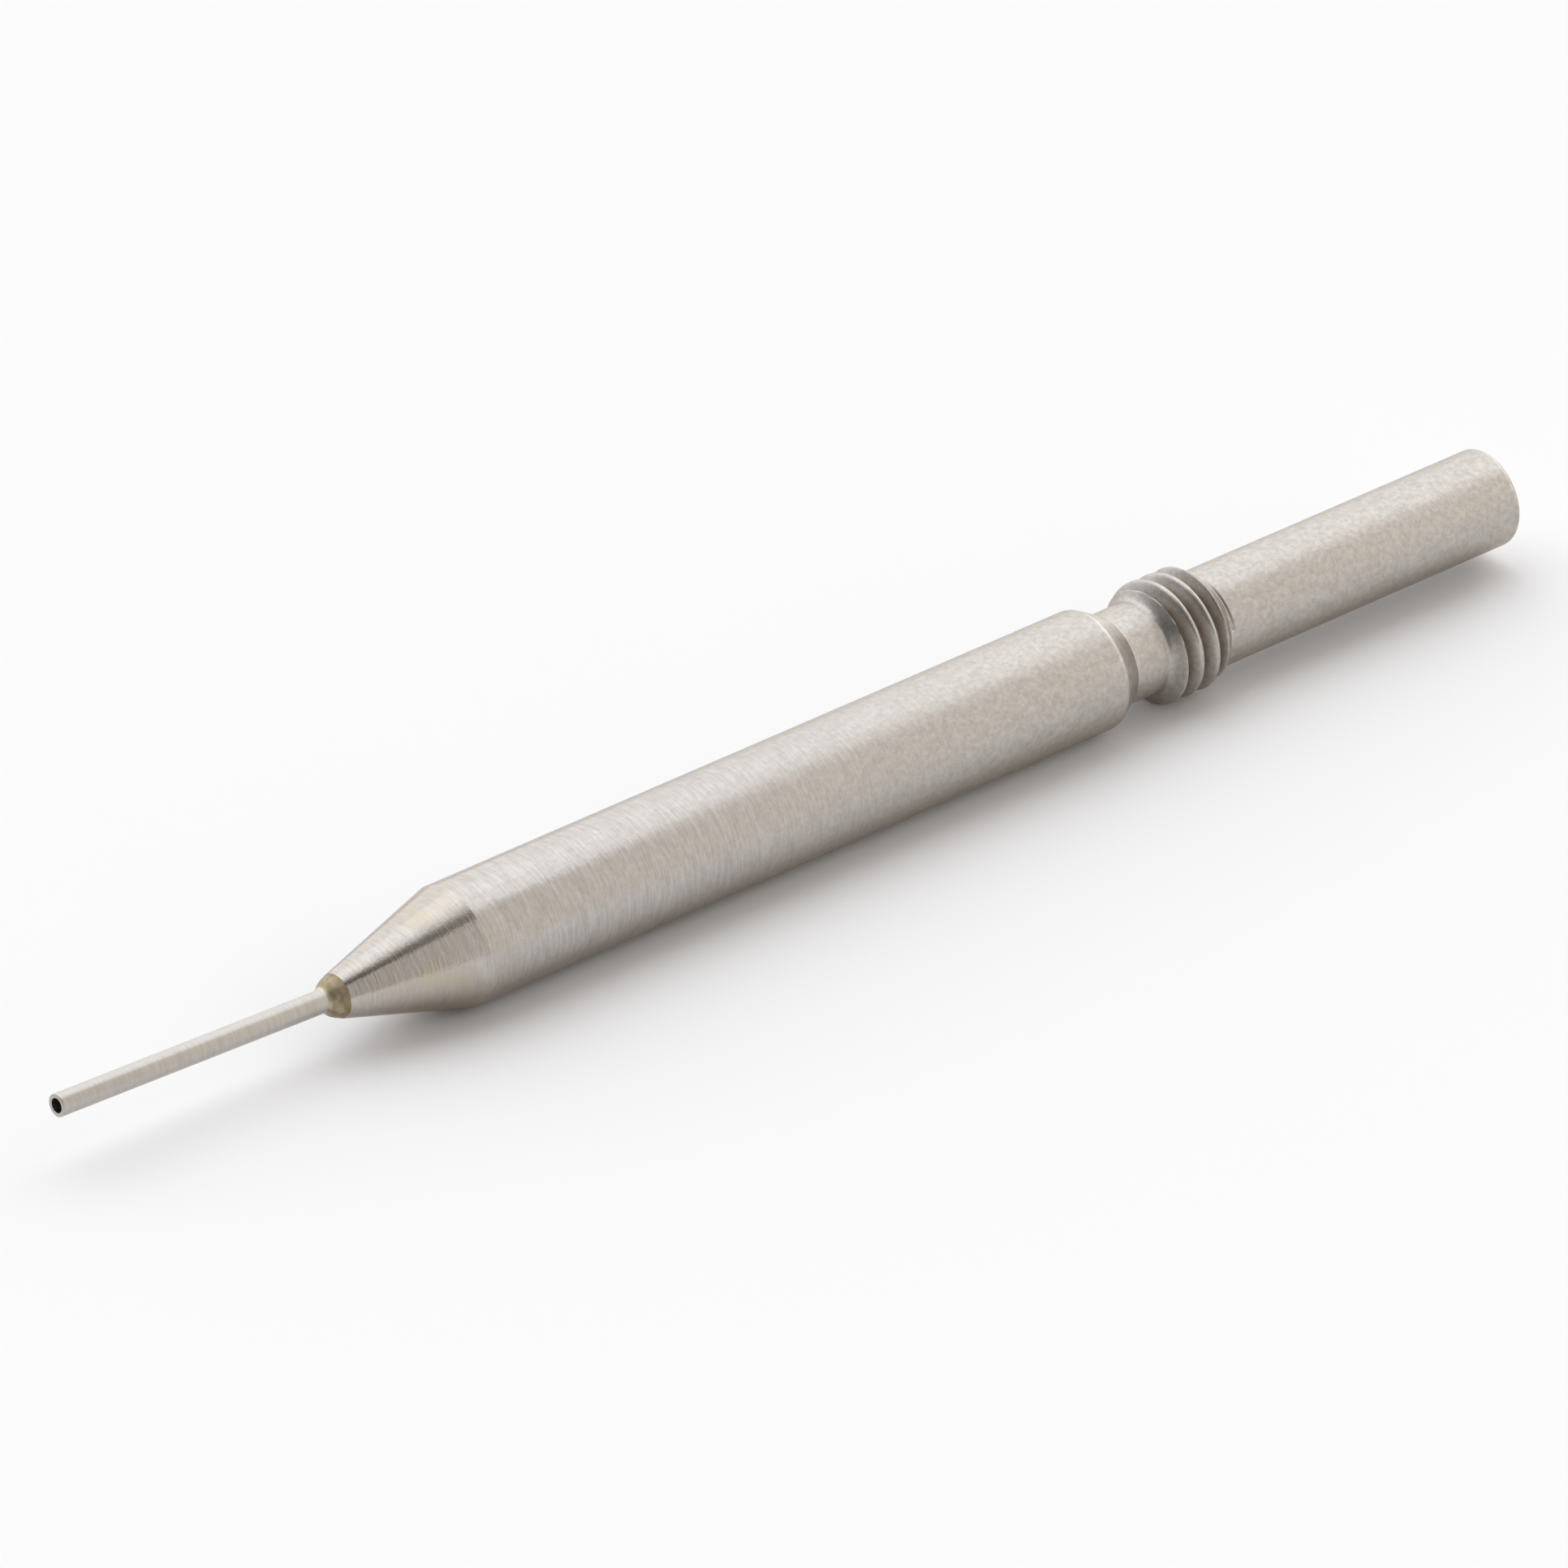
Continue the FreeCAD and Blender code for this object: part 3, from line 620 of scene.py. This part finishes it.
# Mottling of about a fifth of a millimetre.
mottle = add(tree, "ShaderNodeTexNoise",
             {"Vector": mm, "Scale": 4.5, "Detail": 3.0, "Roughness": 0.65}).outputs["Fac"]
spread = add(tree, "ShaderNodeMapRange",
             {"Value": mottle, "From Min": 0.32, "From Max": 0.68}).outputs[0]
film = add(tree, "ShaderNodeMix", {"Factor": spread, 6: colour("#8C7D61"), 7: colour("#B2A68E")},
           data_type="RGBA").outputs[2]
# Painted highlight: the thin front edge is coloured pale cream, most strongly on the upper side.
front_edge = add(tree, "ShaderNodeMapRange",
                 {"Value": parts["X"], "From Min": -0.35, "From Max": -0.40}).outputs[0]
upper_side = add(tree, "ShaderNodeMapRange",
                 {"Value": parts["Z"], "From Min": -0.1, "From Max": 0.2,
                  "To Min": 0.15, "To Max": 1.0}).outputs[0]
painted_highlight_share = add(tree, "ShaderNodeMath", {0: front_edge, 1: upper_side}, operation="MULTIPLY").outputs[0]
highlighted = add(tree, "ShaderNodeMix", {"Factor": painted_highlight_share, 6: film, 7: colour("#D6CCB5")},
            data_type="RGBA").outputs[2]
# Painted shade: next to the nose, where the collar meets it, the collar is coloured darker.
seam_shade = add(tree, "ShaderNodeMapRange",
           {"Value": parts["X"], "From Min": -0.2, "From Max": -0.03,
            "To Min": 0.0, "To Max": 0.5}).outputs[0]
seam_shaded = add(tree, "ShaderNodeMix", {"Factor": seam_shade, 6: highlighted, 7: colour("#80725A")},
               data_type="RGBA").outputs[2]
ripple = add(tree, "ShaderNodeBump",
             {"Strength": 0.6, "Distance": 0.01 * MM, "Height": mottle}).outputs[0]
metal = add(tree, "ShaderNodeBsdfPrincipled",
            {"Base Color": seam_shaded, "Metallic": 1.0, "Roughness": 0.5, "Normal": ripple}).outputs[0]
add(tree, "ShaderNodeOutputMaterial", {"Surface": metal})

# The front of the collar bulges: it leaves the nose at nearly the angle of the cone and turns in
# more and more steeply to the tube.
bulge = [(-0.15, 0.49), (-0.28, 0.42), (-0.37, 0.348), (-0.42, 0.295)]
section = section_mesh("collar_section", rounded(
    [(BRAZE_CUP_DEPTH, TUBE_RADIUS, 0), (BRAZE_CUP_DEPTH, BRAZE_CUP_RADIUS, 0),
     (0.0, BRAZE_CUP_RADIUS, 0), (0.0, NOSE_FRONT_RADIUS - COLLAR_STEP, 0)]
    + [(station, radius, COLLAR_EDGE) for station, radius in bulge]
    + [(-LIP_START, TUBE_RADIUS + LIP_THICKNESS, 0), (-LIP_END, TUBE_RADIUS, 0)]))
collar = spun_piece("braze_collar", section, bending, bent_sizes, braze)
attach(collar, "root")
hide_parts("braze_joint")

# ---------------------------------------------------------------------------------------------
# Floor: a wide white sheet of paper that the nozzle lies on, with its own soft shadow on it.
# ---------------------------------------------------------------------------------------------
FLOOR_REACH = 2.0

paper = new_material("white_paper")
matt = add(paper.node_tree, "ShaderNodeBsdfDiffuse", {"Color": colour("#F5F4F4")}).outputs[0]
add(paper.node_tree, "ShaderNodeOutputMaterial", {"Surface": matt})
sheet = bpy.data.meshes.new("floor")
sheet.from_pydata([(-FLOOR_REACH, -FLOOR_REACH, 0), (FLOOR_REACH, -FLOOR_REACH, 0),
                   (FLOOR_REACH, FLOOR_REACH, 0), (-FLOOR_REACH, FLOOR_REACH, 0)], [], [(0, 1, 2, 3)])
sheet.materials.append(paper)
floor = bpy.data.objects.new("floor", sheet)
bpy.context.scene.collection.objects.link(floor)

# ---------------------------------------------------------------------------------------------
# Light: a pale room, a soft panel behind and above the nozzle, and a brighter one on the near side.
# The room's sides are told apart by the direction of a ray, and their strengths are below.
# ---------------------------------------------------------------------------------------------
BACK_WALL = 1.58
BACK_DIM = 0.25
NEAR_WALL = 1.02
NEAR_DIM = 0.15
CEILING_EDGE = math.radians(103)
ARCH = 1.1
ARCH_X = 0.815

scene = bpy.context.scene
room = bpy.data.worlds.new("pale_room")
room.use_nodes = True
tree = room.node_tree
tree.nodes.clear()
ray = add(tree, "ShaderNodeTexCoord").outputs["Generated"]
ray_x = add(tree, "ShaderNodeSeparateXYZ", {0: ray}).outputs["X"]
# The near side of the room: dim towards the tip, a cream wall towards the stem.
near_level = add(tree, "ShaderNodeMapRange",
                 {"Value": ray_x, "From Min": -0.15, "From Max": 0.6,
                  "To Min": NEAR_DIM, "To Max": NEAR_WALL}, interpolation_type="SMOOTHSTEP").outputs[0]
near_side = add(tree, "ShaderNodeBackground",
                {"Color": colour("#FFFAF4"), "Strength": near_level}).outputs[0]
# The back wall and the ceiling, which end a little past the zenith. Their border is wide and soft
# towards the tip and narrows towards the stem.
over = add(tree, "ShaderNodeVectorMath",
           {0: ray, 1: (0, math.sin(CEILING_EDGE), -math.cos(CEILING_EDGE))},
           operation="DOT_PRODUCT").outputs["Value"]
border = add(tree, "ShaderNodeMapRange",
             {"Value": ray_x, "From Min": 0.2, "From Max": 0.5,
              "To Min": 0.38, "To Max": 0.13}).outputs[0]
covered = add(tree, "ShaderNodeMapRange", {"Value": over, "From Min": -0.09, "From Max": border},
              interpolation_type="SMOOTHSTEP").outputs[0]
back_level = add(tree, "ShaderNodeMapRange",
                 {"Value": ray_x, "From Min": -0.95, "From Max": -0.35,
                  "To Min": BACK_DIM, "To Max": BACK_WALL}, interpolation_type="SMOOTHSTEP").outputs[0]
back_side = add(tree, "ShaderNodeBackground",
                {"Color": colour("#FAFCFF"), "Strength": back_level}).outputs[0]
whole = add(tree, "ShaderNodeMixShader", {0: covered, 1: near_side, 2: back_side}).outputs[0]
# A bright arch over the stem end, which only the rounded rear edges of the metal can see.
off_arch = add(tree, "ShaderNodeMath", {0: ray_x, 1: ARCH_X}, operation="SUBTRACT").outputs[0]
away = add(tree, "ShaderNodeMath", {0: off_arch}, operation="ABSOLUTE").outputs[0]
arch_level = add(tree, "ShaderNodeMapRange",
                 {"Value": away, "From Min": 0.09, "From Max": 0.04,
                  "To Min": 0.0, "To Max": ARCH}).outputs[0]
arch = add(tree, "ShaderNodeBackground",
           {"Color": colour("#FFFBF5"), "Strength": arch_level}).outputs[0]
lit = add(tree, "ShaderNodeAddShader", {0: whole, 1: arch}).outputs[0]
add(tree, "ShaderNodeOutputWorld", {"Surface": lit})
scene.world = room


def panel(name, azimuth, elevation, distance, width, height, radiance):
    """A soft rectangular panel that faces the nozzle. Azimuth is in degrees round from +X, elevation
    in degrees above the floor."""
    lamp = bpy.data.lights.new(name, "AREA")
    lamp.shape = "RECTANGLE"
    lamp.size = width
    lamp.size_y = height
    lamp.energy = radiance * math.pi * width * height
    piece = bpy.data.objects.new(name, lamp)
    a = math.radians(azimuth)
    e = math.radians(elevation)
    towards = Vector((math.cos(e) * math.cos(a), math.cos(e) * math.sin(a), math.sin(e)))
    piece.location = towards * distance
    piece.rotation_euler = towards.to_track_quat("Z", "Y").to_euler()
    piece.visible_camera = False
    scene.collection.objects.link(piece)


panel("key_panel", azimuth=90, elevation=60, distance=0.9, width=1.2, height=0.5, radiance=0.2)
panel("near_panel", azimuth=-90, elevation=31, distance=1.0, width=0.6, height=1.2, radiance=0.48)

# ---------------------------------------------------------------------------------------------
# Camera: looks down along the nozzle from the tip's side, with a long lens.
# ---------------------------------------------------------------------------------------------
CAMERA_DISTANCE = 0.46929

eye = bpy.data.cameras.new("camera")
eye.lens = 465.2
eye.sensor_width = 36
eye.clip_start = 0.01
eye.clip_end = 10
camera = bpy.data.objects.new("camera", eye)
forward = Vector((0.5616, 0.6549, -0.5057)).normalized()
aim = Vector((-0.000251, -0.000056, 0.002015))
camera.location = aim - forward * CAMERA_DISTANCE
camera.rotation_euler = forward.to_track_quat("-Z", "Y").to_euler()
scene.collection.objects.link(camera)
scene.camera = camera

scene.view_settings.view_transform = "Standard"
